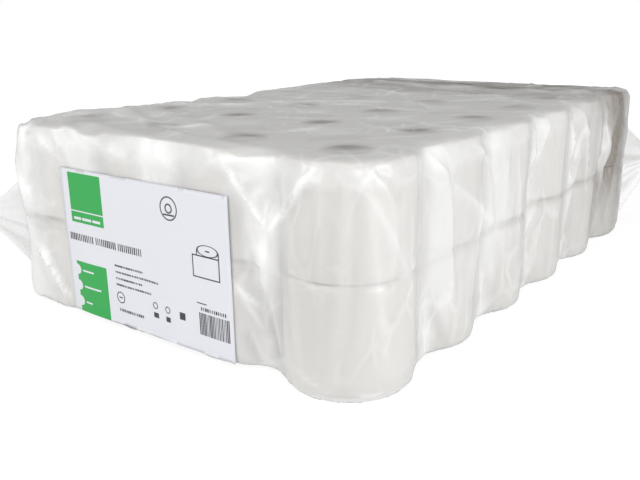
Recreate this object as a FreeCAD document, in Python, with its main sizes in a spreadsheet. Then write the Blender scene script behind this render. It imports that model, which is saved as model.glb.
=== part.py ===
"""Bulk pack of toilet paper rolls, wrapped in clear film.

The rolls stand upright in two layers of four columns by six rows, each wound on a
cardboard core. A bag of thin film is drawn tight round them. It lies flat on the top
and the bottom, follows the rolls on the sides, dips into the valleys between them and
ends in a pressed ear at two opposite corners. A printed label lies on one short end.

X runs across the columns, Y along the rows and Z up. The origin is the middle of the
base, and the label faces -Y. All lengths are in millimetres.
"""

import FreeCAD, Part
import math
import os

import Sketcher
from FreeCAD import Vector

SIZES = {
    # A roll of paper, and the tube that it is wound on.
    "roll_diameter": 109.6,
    "roll_width": 95.0,
    "roll_edge": 4.0,
    "roll_gap": 0.4,
    "core_bore": 41.0,
    "core_wall": 1.0,
    # The stack.
    "columns": 4,
    "rows": 6,
    # The film, and the small curve where its sides meet the top and the bottom.
    "film_wall": 0.5,
    "film_clearance": 0.5,
    "film_edge": 3.2,
    # How far the film dips between two rolls, from the foot of the pack to its top.
    "dip_at_foot": 12.0,
    "dip_lower_layer": 20.0,
    "dip_at_waist": 15.0,
    "dip_upper_layer": 19.0,
    "dip_at_top": 7.0,
    # The groove round the pack where the two layers meet.
    "waist_depth": 1.1,
    "waist_height": 8.0,
    # Two corners where the film stands off the roll, and the ears on them.
    "corner_slack": 30.0,
    "ear_reach": 46.0,
    "ear_root": 106.0,
    "ear_tip": 18.0,
    "ear_fold": 8.0,
    "ear_thickness": 1.4,
    "ear_height": 80.0,
    "ear_lift": 15.0,
    # The label, and the flat of the film that carries it.
    "label_width": 228.0,
    "label_height": 149.0,
    "label_thickness": 0.3,
    "label_middle": -28.0,
    "label_bottom": 4.5,
    "label_margin": 1.0,
    "shoulder_radius": 16.0,
    "shoulder_dip": 1.15,
}

LAYERS = ("lower", "upper")
PITCH = "(sizes.roll_diameter + sizes.roll_gap)"
FRONT = "(-sizes.rows * PITCH / 2 + sizes.roll_gap / 2 - sizes.film_clearance - sizes.film_wall)"

# Heights at which the film is drawn, and how uneven its dips are.
EDGE_STEPS = 3
STEPS_BETWEEN_DIPS = 4
UNEVENNESS = 0.12
UNEVEN_TURN = 2.4
UNEVEN_RISE = 3.0

# The ear, from its root in the corner to its tip.
EAR_STATIONS = (0.0, 0.25, 0.5, 0.75, 1.0)
EAR_HOLLOW = 1.6
EAR_SINK = 5.0


def make_sheet(doc):
    """The driving dimensions, one row for each."""
    sheet = doc.addObject("Spreadsheet::Sheet", "sizes")
    for line, (name, value) in enumerate(SIZES.items(), start=1):
        sheet.set(f"A{line}", name)
        sheet.set(f"B{line}", str(value))
        sheet.setAlias(f"B{line}", name)
    doc.recompute()
    return sheet


def origin_plane(body, role):
    """One of the body's own planes."""
    return next(f for f in body.Origin.OriginFeatures if f.Role == role)


def add_body(doc, name, plane):
    """A body with an empty sketch on one of its planes."""
    body = doc.addObject("PartDesign::Body", name)
    body.Label = name
    sketch = body.newObject("Sketcher::SketchObject", name + "_sketch")
    sketch.AttachmentSupport = [(origin_plane(body, plane), "")]
    sketch.MapMode = "FlatFace"
    return body, sketch


def constrain(sketch, kind, *where, size=None):
    """Adds a constraint, and binds its value to the sheet where it has one."""
    if size is None:
        sketch.addConstraint(Sketcher.Constraint(kind, *where))
        return
    value = float(sketch.evalExpression(size))
    index = sketch.addConstraint(Sketcher.Constraint(kind, *where, value))
    sketch.setExpression(f"Constraints[{index}]", size)


def place(obj, x, y, z):
    """Binds the place of a sub-part to the sheet."""
    for axis, expression in zip("xyz", (x, y, z)):
        obj.setExpression(f"Placement.Base.{axis}", expression.replace("PITCH", PITCH))


def column_x(column):
    return f"({column} - (sizes.columns - 1) / 2) * PITCH"


def row_y(row):
    return f"({row} - (sizes.rows - 1) / 2) * PITCH"


def layer_z(layer):
    return f"sizes.film_wall + {layer} * sizes.roll_width"


def add_roll(doc, sheet, name, column, row, layer):
    """One roll: its half section, with rounded edges, turned about the bore."""
    body, sketch = add_body(doc, name, "XZ_Plane")
    bore = sheet.core_bore / 2 + sheet.core_wall
    outside = sheet.roll_diameter / 2
    edge = sheet.roll_edge
    top = sheet.roll_width
    quarter = math.pi / 2
    foot_curve = Part.Circle(Vector(outside - edge, edge), Vector(0, 0, 1), edge)
    top_curve = Part.Circle(Vector(outside - edge, top - edge), Vector(0, 0, 1), edge)
    section = [
        Part.LineSegment(Vector(bore, 0), Vector(outside - edge, 0)),
        Part.ArcOfCircle(foot_curve, -quarter, 0),
        Part.LineSegment(Vector(outside, edge), Vector(outside, top - edge)),
        Part.ArcOfCircle(top_curve, 0, quarter),
        Part.LineSegment(Vector(outside - edge, top), Vector(bore, top)),
        Part.LineSegment(Vector(bore, top), Vector(bore, 0)),
    ]
    sketch.addGeometry(section, False)
    foot, foot_arc, side, top_arc, end, inside = range(6)
    for before, after in ((foot, foot_arc), (foot_arc, side), (side, top_arc), (top_arc, end)):
        constrain(sketch, "Tangent", before, 2, after, 1)
    constrain(sketch, "Coincident", end, 2, inside, 1)
    constrain(sketch, "Coincident", inside, 2, foot, 1)
    constrain(sketch, "PointOnObject", foot, 1, -1)
    constrain(sketch, "Horizontal", foot)
    constrain(sketch, "Horizontal", end)
    constrain(sketch, "Vertical", inside)
    constrain(sketch, "Equal", foot_arc, top_arc)
    constrain(sketch, "Radius", foot_arc, size="sizes.roll_edge")
    constrain(sketch, "DistanceX", -1, 1, foot, 1, size="sizes.core_bore / 2 + sizes.core_wall")
    constrain(sketch, "DistanceX", -1, 1, side, 1, size="sizes.roll_diameter / 2")
    constrain(sketch, "DistanceY", foot, 1, end, 2, size="sizes.roll_width")
    wound = body.newObject("PartDesign::Revolution", name + "_wound")
    wound.Profile = sketch
    wound.ReferenceAxis = (sketch, ["V_Axis"])
    wound.Angle = 360.0
    place(body, column_x(column), row_y(row), layer_z(layer))
    return body


def add_cores(doc, name, column, layer):
    """The cardboard tubes of one column: a ring, padded and repeated along the rows."""
    body, sketch = add_body(doc, name, "XY_Plane")
    upright = Vector(0, 0, 1)
    for size in ("sizes.core_bore / 2", "sizes.core_bore / 2 + sizes.core_wall"):
        circle = sketch.addGeometry(Part.Circle(Vector(), upright, 1.0), False)
        constrain(sketch, "Coincident", circle, 3, -1, 1)
        constrain(sketch, "Radius", circle, size=size)
    tube = body.newObject("PartDesign::Pad", name + "_tube")
    tube.Profile = sketch
    tube.setExpression("Length", "sizes.roll_width")
    doc.recompute()
    along = body.newObject("PartDesign::LinearPattern", name + "_along")
    along.Originals = [tube]
    along.Direction = (sketch, ["V_Axis"])
    along.setExpression("Length", f"(sizes.rows - 1) * {PITCH}")
    along.setExpression("Occurrences", "sizes.rows")
    body.AllowCompound = True
    body.Tip = along
    place(body, column_x(column), row_y(0), layer_z(layer))
    return body


def add_label(doc):
    """The printed label, a flat sheet on the film of the short end."""
    body, sketch = add_body(doc, "label", "XZ_Plane")
    corners = [Vector(0, 0), Vector(1, 0), Vector(1, 1), Vector(0, 1)]
    for i in range(4):
        sketch.addGeometry(Part.LineSegment(corners[i], corners[(i + 1) % 4]), False)
    for i in range(4):
        constrain(sketch, "Coincident", i, 2, (i + 1) % 4, 1)
        constrain(sketch, "Vertical" if i % 2 else "Horizontal", i)
    constrain(sketch, "DistanceX", 0, 1, -1, 1, size="sizes.label_width / 2")
    constrain(sketch, "DistanceX", -1, 1, 0, 2, size="sizes.label_width / 2")
    constrain(sketch, "DistanceY", -1, 1, 0, 1, size="sizes.label_bottom")
    constrain(sketch, "DistanceY", 1, 1, 1, 2, size="sizes.label_height")
    sheet_of_paper = body.newObject("PartDesign::Pad", "label_sheet")
    sheet_of_paper.Profile = sketch
    sheet_of_paper.setExpression("Length", "sizes.label_thickness")
    place(body, "sizes.label_middle", FRONT, "0")
    return body


class Film:
    """The bag, drawn as outlines round a ring of posts, one outline for each height."""

    def __init__(self, sheet):
        self.sizes = sheet
        self.pitch = sheet.roll_diameter + sheet.roll_gap
        self.radius = sheet.roll_diameter / 2 + sheet.film_clearance + sheet.film_wall
        self.half_x = (sheet.columns - 1) / 2 * self.pitch
        self.half_y = (sheet.rows - 1) / 2 * self.pitch
        self.height = len(LAYERS) * sheet.roll_width + 2 * sheet.film_wall
        self.edge = sheet.film_edge + sheet.film_wall

    def posts(self):
        """The posts from the near right corner, against the clock, seen from above.

        Each is (x, y, radius, dip to the next one as a share of the dip at that height).
        """
        s = self.sizes
        columns = range(int(s.columns))
        rows = range(int(s.rows))
        slack = self.radius - s.corner_slack
        right = [(self.half_x, row * self.pitch - self.half_y, self.radius, 1) for row in rows]
        back = [(self.half_x - col * self.pitch, self.half_y, self.radius, 1) for col in columns]
        left = [(-self.half_x, self.half_y - row * self.pitch, self.radius, 1) for row in rows]
        right[-1] = (*right[-1][:3], 0)
        left[-1] = (*left[-1][:3], 0)
        far_corner = (self.half_x + s.corner_slack, self.half_y + s.corner_slack, slack, 0)
        near_corner = (-self.half_x - s.corner_slack, -self.half_y - s.corner_slack, slack, 0)
        shoulder = (
            s.label_middle + s.label_width / 2 + s.label_margin,
            -self.half_y - self.radius + s.shoulder_radius,
            s.shoulder_radius,
            s.shoulder_dip,
        )
        return right + [far_corner] + back + left[1:] + [near_corner, shoulder]

    def heights(self, depth):
        """Heights of the outlines of a skin that lies this deep in the film.

        Each is (height, inset of the posts, dip). The first and last few follow the
        curved edge, and a groove runs round the waist.
        """
        s = self.sizes
        low, high = self.edge, self.height - self.edge
        waist = self.height / 2
        groove_foot = waist - s.waist_height / 2
        groove_top = waist + s.waist_height / 2
        lower = [
            (low, s.dip_at_foot),
            ((low + groove_foot) / 2, s.dip_lower_layer),
            (groove_foot, s.dip_at_waist),
        ]
        upper = [
            (groove_top, s.dip_at_waist),
            ((groove_top + high) / 2, s.dip_upper_layer),
            (high, s.dip_at_top),
        ]
        edge = []
        for step in range(EDGE_STEPS):
            turn = math.pi / 2 * step / EDGE_STEPS
            rise = (self.edge - depth) * (1 - math.cos(turn))
            inset = (self.edge - depth) * (1 - math.sin(turn))
            edge.append((depth + rise, depth + inset))
        levels = [(z, inset, s.dip_at_foot) for z, inset in edge]
        levels += [(z, depth, dip) for z, dip in eased(lower)]
        levels.append((waist, depth + s.waist_depth, s.dip_at_waist))
        levels += [(z, depth, dip) for z, dip in eased(upper)]
        levels += [(self.height - z, inset, s.dip_at_top) for z, inset in reversed(edge)]
        return levels

    def outline(self, z, inset, dip):
        """A closed wire round the posts: an arc on each, and a dip or a straight between."""
        posts = [(Vector(x, y, z), r - inset, share * dip) for x, y, r, share in self.posts()]
        links = []
        for i, (centre, radius, depth) in enumerate(posts):
            uneven = math.sin(UNEVEN_TURN * i + UNEVEN_RISE * z / self.height)
            depth *= 1 + UNEVENNESS * uneven
            links.append(link(centre, radius, *posts[(i + 1) % len(posts)][:2], depth))
        edges = []
        for i, (centre, radius, _) in enumerate(posts):
            start, end = links[i - 1][-1], links[i][0]
            bulge = (start - centre) + (end - centre)
            edges.append(Part.Arc(start, centre + bulge.normalize() * radius, end).toShape())
            if len(links[i]) == 3:
                edges.append(Part.Arc(*links[i]).toShape())
            else:
                edges.append(Part.LineSegment(*links[i]).toShape())
        return Part.Wire(edges)

    def skin(self, depth):
        """The closed shell that lies this deep in the film."""
        wires = [self.outline(*level) for level in self.heights(depth)]
        return Part.makeLoft(wires, True, True)

    def ear(self, side):
        """A pressed ear of film on one slack corner, folded along its middle."""
        s = self.sizes
        out = Vector(side, side).normalize()
        across = Vector(-out.y, out.x)
        corner = Vector(side * (self.half_x + s.corner_slack), side * (self.half_y + s.corner_slack))
        root = corner + out * (self.radius - s.corner_slack - EAR_SINK)
        sections = []
        for share in EAR_STATIONS:
            half = (s.ear_tip + (s.ear_root - s.ear_tip) * (1 - share) ** EAR_HOLLOW) / 2
            middle = root + out * (EAR_SINK + s.ear_reach) * share
            middle.z = s.ear_height + s.ear_lift * share
            fold = across * (s.ear_fold * (1 - share) / 2)
            thick = across * (s.ear_thickness / 2)
            foot = middle - fold - Vector(0, 0, half)
            top = middle - fold + Vector(0, 0, half)
            line = [foot, middle + fold, top]
            ring = [point + thick for point in line] + [point - thick for point in reversed(line)]
            sections.append(Part.makePolygon(ring + ring[:1]))
        return Part.makeLoft(sections, True, True)

    def shape(self):
        """The hollow bag with its two ears."""
        outer = self.skin(0).Shells[0]
        inner = self.skin(self.sizes.film_wall).Shells[0]
        hollow = Part.Solid(Part.makeCompound([outer, inner.reversed()]))
        return hollow.fuse([self.ear(-1), self.ear(1)]).Solids[0]


def eased(stops):
    """Heights and dips from stop to stop, each dip passing smoothly into the next."""
    steps = []
    for (z_a, dip_a), (z_b, dip_b) in zip(stops, stops[1:]):
        for step in range(STEPS_BETWEEN_DIPS):
            share = step / STEPS_BETWEEN_DIPS
            ease = (1 - math.cos(math.pi * share)) / 2
            steps.append((z_a + (z_b - z_a) * share, dip_a + (dip_b - dip_a) * ease))
    return steps + stops[-1:]


def link(centre_a, radius_a, centre_b, radius_b, dip):
    """How the film passes from one post to the next: two points, or three with a dip.

    The film would lie along the line that touches both posts. It dips under it in an
    arc that leaves each post smoothly.
    """
    between = centre_b - centre_a
    gap = between.Length
    towards = between.normalize()
    outwards = Vector(towards.y, -towards.x, 0)
    lean = (radius_a - radius_b) / gap
    upright = math.sqrt(1 - lean * lean)
    normal = towards * lean + outwards * upright
    along = towards * upright - outwards * lean
    length = gap * upright
    touch_a = centre_a + normal * radius_a
    touch_b = centre_b + normal * radius_b
    if dip == 0:
        return touch_a, touch_b
    lowest = length / 2 + dip * (radius_a - radius_b) / length
    radius = (lowest * lowest + dip * dip) / (2 * dip) - radius_a
    centre = touch_a + along * lowest + normal * (radius - dip)
    leave = centre_a + (centre - centre_a) * (radius_a / (radius_a + radius))
    meet = centre_b + (centre - centre_b) * (radius_b / (radius_b + radius))
    return leave, centre - normal * radius, meet


def add_film(doc, sheet):
    """The bag of film, as one hollow solid."""
    bag = doc.addObject("Part::Feature", "film_bag")
    bag.Label = "film_bag"
    bag.Shape = Film(sheet).shape()
    bag.Placement = FreeCAD.Placement()
    return bag


def write(doc, parts):
    """Checks every object, then writes each sub-part to a file with its name."""
    failed = [obj.Name for obj in doc.Objects if {"Invalid", "Error"} & set(obj.State)]
    failed += [part.Name for part in parts if part.Shape.isNull() or not part.Shape.isValid()]
    if failed:
        raise RuntimeError("failed: " + ", ".join(failed))
    os.makedirs("parts", exist_ok=True)
    for part in parts:
        part.Shape.exportStep(f"parts/{part.Label}.step")


def main():
    doc = FreeCAD.newDocument("roll_pack")
    sheet = make_sheet(doc)
    parts = []
    for layer, layer_name in enumerate(LAYERS):
        for column in range(int(sheet.columns)):
            place_name = f"column_{column + 1}"
            parts.append(add_cores(doc, f"{layer_name}_cores_{place_name}", column, layer))
            for row in range(int(sheet.rows)):
                name = f"{layer_name}_roll_{place_name}_row_{row + 1}"
                parts.append(add_roll(doc, sheet, name, column, row, layer))
    parts.append(add_film(doc, sheet))
    parts.append(add_label(doc))
    doc.recompute()
    write(doc, parts)


main()
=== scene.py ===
import math

import bmesh
import bpy
import numpy as np
from mathutils import Matrix, Vector


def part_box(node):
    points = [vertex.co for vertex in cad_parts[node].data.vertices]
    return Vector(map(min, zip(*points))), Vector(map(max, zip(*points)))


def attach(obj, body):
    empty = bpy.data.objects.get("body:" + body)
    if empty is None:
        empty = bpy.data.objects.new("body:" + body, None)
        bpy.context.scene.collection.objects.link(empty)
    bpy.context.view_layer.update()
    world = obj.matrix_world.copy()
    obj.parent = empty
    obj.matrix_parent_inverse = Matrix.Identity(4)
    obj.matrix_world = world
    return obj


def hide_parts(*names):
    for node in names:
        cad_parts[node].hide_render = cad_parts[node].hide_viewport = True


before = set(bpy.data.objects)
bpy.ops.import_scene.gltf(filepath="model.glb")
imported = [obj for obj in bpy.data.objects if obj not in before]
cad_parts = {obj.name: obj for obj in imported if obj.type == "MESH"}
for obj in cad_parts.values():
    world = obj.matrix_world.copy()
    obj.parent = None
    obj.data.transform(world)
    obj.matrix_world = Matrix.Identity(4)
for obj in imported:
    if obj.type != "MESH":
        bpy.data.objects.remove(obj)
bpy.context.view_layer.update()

# The cores: a spiral-wound tube of grey board in each roll. The board is rolled from
# strips glued together, so a fine seam climbs round the tube, and the paper is wound
# straight onto it.
BOARD_COLOUR = "#9B8C77"
BOARD_SEAM_COLOUR = "#7F7260"
BOARD_STRIP_MM = 38.0
BOARD_FIBRE_MM = 1.2
CORE_NODES = sorted(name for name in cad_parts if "cores" in name)


def linear(colour):
    """A hex colour as the linear values that a shader takes."""
    parts = [int(colour[i:i + 2], 16) / 255 for i in (1, 3, 5)]
    return [p / 12.92 if p <= 0.04045 else ((p + 0.055) / 1.055) ** 2.4 for p in parts] + [1.0]


def add_node(tree, kind, inputs=None, **settings):
    """One node with its settings, and its inputs set to values or linked to outputs."""
    node = tree.nodes.new(kind)
    for name, value in settings.items():
        setattr(node, name, value)
    for name, value in (inputs or {}).items():
        if isinstance(value, bpy.types.NodeSocket):
            tree.links.new(value, node.inputs[name])
        else:
            node.inputs[name].default_value = value
    return node


def new_material(name):
    """An empty material and its tree."""
    material = bpy.data.materials.new(name)
    material.use_nodes = True
    material.node_tree.nodes.clear()
    return material, material.node_tree


def dress_nodes(names, material):
    """Gives CAD nodes a material in the slots that they have."""
    for name in names:
        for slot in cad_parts[name].material_slots:
            slot.material = material


# Spiral-wound grey board: matt and a little fibrous, with a darker seam at each turn.
core_board, tree = new_material("grey_core_board")
place = add_node(tree, "ShaderNodeTexCoord").outputs["Object"]
axes = add_node(tree, "ShaderNodeSeparateXYZ", {"Vector": place})
strips = {0: axes.outputs["Z"], 1: 1000 / BOARD_STRIP_MM}
turns = add_node(tree, "ShaderNodeMath", strips, operation="MULTIPLY")
climb = add_node(tree, "ShaderNodeMath", {0: turns.outputs[0], 1: 0.5}, operation="PINGPONG")
seam = add_node(tree, "ShaderNodeMapRange", {"Value": climb.outputs[0], "From Min": 0.0, "From Max": 0.03})
fibre_inputs = {"Vector": place, "Scale": 1000 / BOARD_FIBRE_MM, "Detail": 3.0}
fibres = add_node(tree, "ShaderNodeTexNoise", fibre_inputs)
board_colours = {0: seam.outputs["Result"], 6: linear(BOARD_SEAM_COLOUR), 7: linear(BOARD_COLOUR)}
board_mix = add_node(tree, "ShaderNodeMix", board_colours, data_type="RGBA")
board_bump = add_node(
    tree, "ShaderNodeBump", {"Strength": 0.4, "Distance": 0.0003, "Height": fibres.outputs["Fac"]}
)
board = {"Base Color": board_mix.outputs[2], "Roughness": 0.85, "Normal": board_bump.outputs["Normal"]}
board_shader = add_node(tree, "ShaderNodeBsdfPrincipled", board)
add_node(tree, "ShaderNodeOutputMaterial", {"Surface": board_shader.outputs[0]})
dress_nodes(CORE_NODES, core_board)


# The rolls: bleached two-ply tissue, embossed between steel rollers, wound on the cores
# and cut to length by a saw. The sides show rows of pressed dots, and the cut ends show
# the turns as fine rings.
TISSUE_COLOUR = "#E7E3DC"
TISSUE_SHADE_COLOUR = "#DBD5CC"
EMBOSS_MM = 5.5
RING_MM = 2.4  # the real turns are 0.3 mm apart, which is too fine to show
ROLL_NODES = sorted(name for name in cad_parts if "_roll_" in name)
ROWS = 6
COLUMNS = 4

roll_low, roll_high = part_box(f"lower_roll_column_{COLUMNS}_row_1")
roll_radius = (roll_high.x - roll_low.x) / 2
half_x = (roll_high.x + roll_low.x) / 2
half_y = -(roll_high.y + roll_low.y) / 2
roll_pitch = 2 * half_x / (COLUMNS - 1)

tissue, tree = new_material("embossed_tissue")
place = add_node(tree, "ShaderNodeTexCoord").outputs["Object"]
axes = add_node(tree, "ShaderNodeSeparateXYZ", {"Vector": place})
local = []
for axis in ("X", "Y"):
    # Every roll stands half a pitch from a multiple of the pitch, so this centres on each.
    one_pitch = {0: axes.outputs[axis], 1: roll_pitch, 2: 0.0}
    wrapped = add_node(tree, "ShaderNodeMath", one_pitch, operation="WRAP")
    half_back = {0: wrapped.outputs[0], 1: roll_pitch / 2}
    local.append(add_node(tree, "ShaderNodeMath", half_back, operation="SUBTRACT").outputs[0])
across = add_node(tree, "ShaderNodeCombineXYZ", {"X": local[0], "Y": local[1]})
from_centre = add_node(tree, "ShaderNodeVectorMath", {0: across.outputs[0]}, operation="LENGTH")
turned = add_node(tree, "ShaderNodeMath", {0: local[1], 1: local[0]}, operation="ARCTAN2")
round_roll = add_node(tree, "ShaderNodeMath", {0: turned.outputs[0], 1: roll_radius}, operation="MULTIPLY")
unrolled = add_node(tree, "ShaderNodeCombineXYZ", {"X": round_roll.outputs[0], "Y": axes.outputs["Z"]})
dots = add_node(
    tree,
    "ShaderNodeTexVoronoi",
    {"Vector": unrolled.outputs[0], "Scale": 1000 / EMBOSS_MM, "Randomness": 0.25},
    voronoi_dimensions="2D",
)
pressed = add_node(
    tree, "ShaderNodeMapRange", {"Value": dots.outputs["Distance"], "From Min": 0.1, "From Max": 0.5}
)
ring_wobble = add_node(tree, "ShaderNodeTexNoise", {"Vector": place, "Scale": 30.0, "Detail": 2.0})
ring_place = add_node(
    tree,
    "ShaderNodeMath",
    {0: from_centre.outputs["Value"], 1: 2000 * math.pi / RING_MM, 2: ring_wobble.outputs["Fac"]},
    operation="MULTIPLY_ADD",
)
rings = add_node(tree, "ShaderNodeMath", {0: ring_place.outputs[0]}, operation="SINE")
facing = add_node(tree, "ShaderNodeNewGeometry").outputs["Normal"]
upward = add_node(tree, "ShaderNodeSeparateXYZ", {"Vector": facing})
flatness = add_node(tree, "ShaderNodeMath", {0: upward.outputs["Z"]}, operation="ABSOLUTE")
on_end = add_node(
    tree, "ShaderNodeMapRange", {"Value": flatness.outputs[0], "From Min": 0.6, "From Max": 0.9}
)
dots_or_rings = {0: on_end.outputs["Result"], 2: pressed.outputs["Result"], 3: rings.outputs[0]}
relief = add_node(tree, "ShaderNodeMix", dots_or_rings)
soft = add_node(tree, "ShaderNodeTexNoise", {"Vector": place, "Scale": 14.0, "Detail": 4.0})
tissue_colours = {0: soft.outputs["Fac"], 6: linear(TISSUE_COLOUR), 7: linear(TISSUE_SHADE_COLOUR)}
tissue_mix = add_node(tree, "ShaderNodeMix", tissue_colours, data_type="RGBA")
tissue_bump = add_node(
    tree, "ShaderNodeBump", {"Strength": 0.8, "Distance": 0.0008, "Height": relief.outputs[0]}
)
tissue_inputs = {
    "Base Color": tissue_mix.outputs[2],
    "Roughness": 0.9,
    "Sheen Weight": 0.15,
    "Normal": tissue_bump.outputs["Normal"],
}
tissue_shader = add_node(tree, "ShaderNodeBsdfPrincipled", tissue_inputs)
add_node(tree, "ShaderNodeOutputMaterial", {"Surface": tissue_shader.outputs[0]})
dress_nodes(ROLL_NODES, tissue)


# The film bag: blown polyethylene, about 0.05 mm thick, drawn round the stack and heat
# sealed. It is tight over the rims of the rolls, bridges the valleys between them, and
# is creased wherever the slack was pulled to the ears at two corners.
FILM_COLOUR = "#F7F7F6"
# Painted shade: the grey-brown that the film's colour is darkened towards at the far end.
FILM_PAINTED_SHADE_COLOUR = "#786E64"
FILM_CLEAR_COLOUR = "#F7F7F7"
FILM_HAZE = 0.4
FILM_LOOSE_HAZE = 0.28
CREASE_HAZE = 0.13
EDGE_MM = 3.7
DIPS_MM = (12.0, 20.0, 15.0, 15.0, 19.0, 7.0)
WAIST_DEPTH_MM = 1.1
WAIST_HALF_MM = 4.0
CORNER_SLACK_MM = 30.0
SHOULDER_RADIUS_MM = 16.0
SHOULDER_DIP = 1.15
LABEL_MARGIN_MM = 1.0
UNEVENNESS = 0.12
UNEVEN_TURN = 2.4
UNEVEN_RISE = 3.0
CELL_MM = 6.0
VOXEL_MM = 7.0
ROLL_EDGE_MM = 4.0
FILM_GAP_MM = 0.7
MOVE_CAP_MM = 13.0
CLOTH_FRAMES = 24
CLOTH_VACUUM = -1.7
CLOTH_SLACK = -0.024
CREASE_SEED = 11
SLANTING_CREASES = 110
TOP_CREASES = 120
SKIRT_MM = 5.0
LABEL_GAP_MM = 0.6
PUFF_CAP_MM = 12.0
CORE_HALF_MM = 20.5
MM = 0.001

label_low, label_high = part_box("label")
film_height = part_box("film_bag")[1].z
post_radius = -label_high.y - half_y
slack = CORNER_SLACK_MM * MM

# Posts that the film runs round, against the clock from the near right corner: x, y,
# radius, and the dip to the next post as a share of the dip at that height.
right_side = [[half_x, row * roll_pitch - half_y, post_radius, 1.0] for row in range(ROWS)]
back_side = [[half_x - column * roll_pitch, half_y, post_radius, 1.0] for column in range(COLUMNS)]
left_side = [[-half_x, half_y - row * roll_pitch, post_radius, 1.0] for row in range(ROWS)]
right_side[-1][3] = 0.0
left_side[-1][3] = 0.0
far_corner = [half_x + slack, half_y + slack, post_radius - slack, 0.0]
posts = right_side + [far_corner] + back_side + left_side[1:]
posts.append([-half_x - slack, -half_y - slack, post_radius - slack, 0.0])
shoulder_radius = SHOULDER_RADIUS_MM * MM
shoulder_x = label_high.x + LABEL_MARGIN_MM * MM
posts.append([shoulder_x, label_high.y + shoulder_radius, shoulder_radius, SHOULDER_DIP])

# The heights at which the film is drawn: the curved edges, and even steps between.
edge = EDGE_MM * MM
quarter = np.linspace(0, math.pi / 2, 4)[:-1]
wall_steps = round((film_height - 2 * edge) / (CELL_MM * MM))
wall = np.linspace(edge, film_height - edge, wall_steps + 1)
rises, shrinks = edge * (1 - np.cos(quarter)), edge * (1 - np.sin(quarter))
heights = np.concatenate([rises, wall, film_height - rises[::-1]])
insets = np.concatenate([shrinks, 0 * wall, shrinks[::-1]])
waist = film_height / 2
groove = 1 - np.abs(heights - waist) / (WAIST_HALF_MM * MM)
insets += WAIST_DEPTH_MM * MM * np.clip(groove, 0, 1)
low_stop = waist - WAIST_HALF_MM * MM
high_stop = waist + WAIST_HALF_MM * MM
high_wall = film_height - edge
stops = [edge, (edge + low_stop) / 2, low_stop, high_stop, (high_stop + high_wall) / 2, high_wall]


def eased(value, places, sizes):
    """Sizes at places between stops, each passing smoothly into the next."""
    lower = np.clip(np.searchsorted(places, value) - 1, 0, len(places) - 2)
    places, sizes = np.array(places), np.array(sizes)
    share = np.clip((value - places[lower]) / (places[lower + 1] - places[lower]), 0, 1)
    return sizes[lower] + (sizes[lower + 1] - sizes[lower]) * (1 - np.cos(math.pi * share)) / 2


def sweep(centre, radius, start, end, count, way):
    """Points of an arc at every height, from start up to but without end."""
    first = np.arctan2(start[:, 1] - centre[:, 1], start[:, 0] - centre[:, 0])
    last = np.arctan2(end[:, 1] - centre[:, 1], end[:, 0] - centre[:, 0])
    turn = way * np.mod(way * (last - first), 2 * math.pi)
    angles = first[:, None] + turn[:, None] * np.arange(count) / count
    around = np.stack([np.cos(angles), np.sin(angles)], axis=-1)
    return centre[:, None] + radius[:, None, None] * around


dips = eased(heights, stops, DIPS_MM) * MM
links = []
for i, (x, y, radius, share) in enumerate(posts):
    next_x, next_y, next_radius, _ = posts[(i + 1) % len(posts)]
    here, there = np.array([x, y]), np.array([next_x, next_y])
    gap = np.linalg.norm(there - here)
    towards = (there - here) / gap
    outwards = np.array([towards[1], -towards[0]])
    lean = (radius - next_radius) / gap
    upright = math.sqrt(1 - lean * lean)
    normal = towards * lean + outwards * upright
    along = towards * upright - outwards * lean
    length = gap * upright
    r_here, r_there = (radius - insets)[:, None], (next_radius - insets)[:, None]
    touch_here = here + normal * r_here
    touch_there = there + normal * r_there
    if share == 0:
        links.append((touch_here, touch_there, None, None))
        continue
    uneven = 1 + UNEVENNESS * np.sin(UNEVEN_TURN * i + UNEVEN_RISE * heights / film_height)
    dip = (share * dips * uneven)[:, None]
    lowest = length / 2 + dip * (radius - next_radius) / length
    bend = (lowest**2 + dip**2) / (2 * dip) - r_here
    centre = touch_here + along * lowest + normal * (bend - dip)
    leave = here + (centre - here) * r_here / (r_here + bend)
    meet = there + (centre - there) * r_there / (r_there + bend)
    links.append((leave, meet, centre, bend[:, 0]))

columns = []
for i, (x, y, radius, share) in enumerate(posts):
    here = np.tile([x, y], (len(heights), 1))
    start, end = links[i - 1][1], links[i][0]
    reach = np.linalg.norm(end - start, axis=1).mean()
    count = max(4, round(reach * 1.15 / (CELL_MM * MM)))
    columns.append(sweep(here, radius - insets, start, end, count, 1))
    leave, meet, centre, bend = links[i]
    steps = max(4, round(np.linalg.norm(meet - leave, axis=1).mean() * 1.1 / (CELL_MM * MM)))
    if centre is None:
        shares = (np.arange(steps) / steps)[None, :, None]
        columns.append(leave[:, None] + (meet - leave)[:, None] * shares)
    else:
        columns.append(sweep(centre, bend, leave, meet, steps, -1))
sides = np.concatenate(columns, axis=1)
side_rows = np.concatenate([sides, np.broadcast_to(heights[:, None, None], sides.shape[:2] + (1,))], axis=-1)


def closed_bag(name, rows):
    """A mesh of closed rings one above another, shut by a point at each end."""
    count = rows.shape[1]
    points = np.concatenate([rows.reshape(-1, 3), [rows[0].mean(axis=0), rows[-1].mean(axis=0)]])
    below = np.arange(len(rows) - 1)[:, None] * count + np.arange(count)
    beside = np.arange(len(rows) - 1)[:, None] * count + (np.arange(count) + 1) % count
    quads = np.stack([below, beside, beside + count, below + count], axis=-1).reshape(-1, 4)
    last = (len(rows) - 1) * count
    fans = []
    for here in range(count):
        after = (here + 1) % count
        fans += [[len(points) - 2, after, here], [len(points) - 1, last + here, last + after]]
    mesh = bpy.data.meshes.new(name)
    mesh.from_pydata(points.tolist(), [], quads.tolist() + fans)
    mesh.shade_smooth()
    piece = bpy.data.objects.new(name, mesh)
    bpy.context.scene.collection.objects.link(piece)
    return piece


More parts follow.
